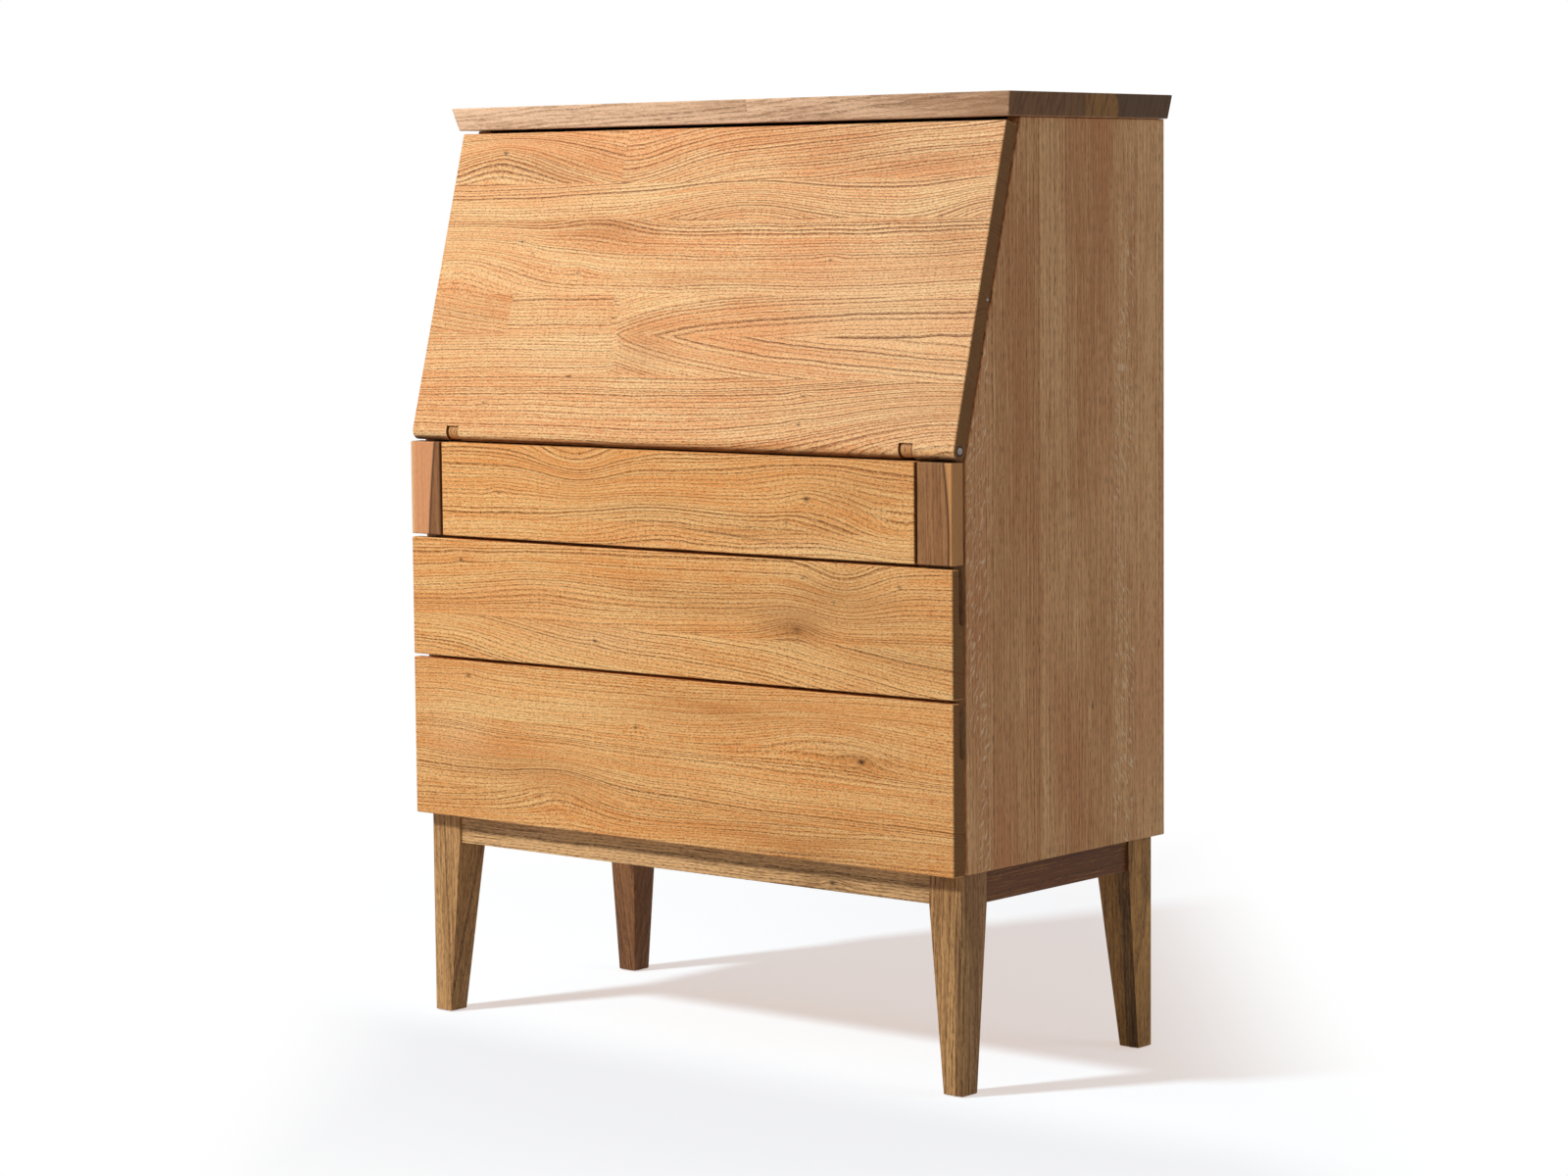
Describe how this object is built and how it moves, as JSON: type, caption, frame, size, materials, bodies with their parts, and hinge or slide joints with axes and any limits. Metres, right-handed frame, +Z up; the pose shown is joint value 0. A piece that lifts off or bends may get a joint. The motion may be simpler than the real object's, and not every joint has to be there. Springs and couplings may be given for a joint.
{
  "type": "bureau desk",
  "caption": "Free-standing bureau desk on tapered legs, with a leaning fall flap that folds down onto pull-out supports as a writing surface, above drawers.",
  "frame": {"origin": "floor level under the centre of the object's box", "axes": "+Z up, +X to the right of someone who sits at the desk, front towards -Y"},
  "size_m": [0.8996, 0.42, 1.161],
  "materials": {
    "oak": "oiled",
    "oak_inner": "oiled",
    "walnut": "oiled",
    "steel": "satin",
    "felt": "matt"
  },
  "bodies": {
    "cabinet": {"apron_front": "walnut", "apron_left": "walnut", "apron_rear": "walnut", "apron_right": "walnut", "back_panel": "oak_inner", "bottom_panel": "oak_inner", "desk_board": "oak_inner", "divider_left": "oak_inner", "divider_right": "oak_inner", "foot_pad_front_left": "felt", "foot_pad_front_right": "felt", "foot_pad_rear_left": "felt", "foot_pad_rear_right": "felt", "inner_shelf": "oak_inner", "inner_upright_left": "oak_inner", "inner_upright_right": "oak_inner", "knuckle_left": "oak", "knuckle_right": "oak", "leg_front_left": "walnut", "leg_front_right": "walnut", "leg_rear_left": "walnut", "leg_rear_right": "walnut", "rail_lower_front": "oak_inner", "rail_lower_rear": "oak_inner", "rail_upper_front": "oak_inner", "rail_upper_rear": "oak_inner", "runner_lower_left": "oak_inner", "runner_lower_right": "oak_inner", "runner_upper_left": "oak_inner", "runner_upper_right": "oak_inner", "side_left": "oak", "side_right": "oak", "top_slab": "walnut"},
    "flap": {"flap_panel": "oak", "hinge_pin_left": "steel", "hinge_pin_right": "steel"},
    "drawer_top": {"drawer_top_back": "oak_inner", "drawer_top_bottom": "oak_inner", "drawer_top_front": "oak", "drawer_top_side_left": "oak_inner", "drawer_top_side_right": "oak_inner"},
    "drawer_middle": {"drawer_middle_back": "oak_inner", "drawer_middle_bottom": "oak_inner", "drawer_middle_front": "oak", "drawer_middle_side_left": "oak_inner", "drawer_middle_side_right": "oak_inner"},
    "drawer_bottom": {"drawer_bottom_back": "oak_inner", "drawer_bottom_bottom": "oak_inner", "drawer_bottom_front": "oak", "drawer_bottom_side_left": "oak_inner", "drawer_bottom_side_right": "oak_inner"},
    "loper_left": {"loper_left_arm": "oak_inner", "loper_left_front": "walnut", "loper_left_pad": "felt"},
    "loper_right": {"loper_right_arm": "oak_inner", "loper_right_front": "walnut", "loper_right_pad": "felt"}
  },
  "joints": [
    {"name": "flap_hinge", "type": "hinge", "parent": "cabinet", "child": "flap", "pos_m": [0, -0.195, 0.75145], "axis": [1, 0, 0], "range_deg": [0, 105.1]},
    {"name": "drawer_top_slide", "type": "slide", "parent": "cabinet", "child": "drawer_top", "axis": [0, -1, 0], "range_m": [0, 0.3]},
    {"name": "drawer_middle_slide", "type": "slide", "parent": "cabinet", "child": "drawer_middle", "axis": [0, -1, 0], "range_m": [0, 0.3]},
    {"name": "drawer_bottom_slide", "type": "slide", "parent": "cabinet", "child": "drawer_bottom", "axis": [0, -1, 0], "range_m": [0, 0.3]},
    {"name": "loper_left_slide", "type": "slide", "parent": "cabinet", "child": "loper_left", "axis": [0, -1, 0], "range_m": [0, 0.27]},
    {"name": "loper_right_slide", "type": "slide", "parent": "cabinet", "child": "loper_right", "axis": [0, -1, 0], "range_m": [0, 0.27]}
  ]
}
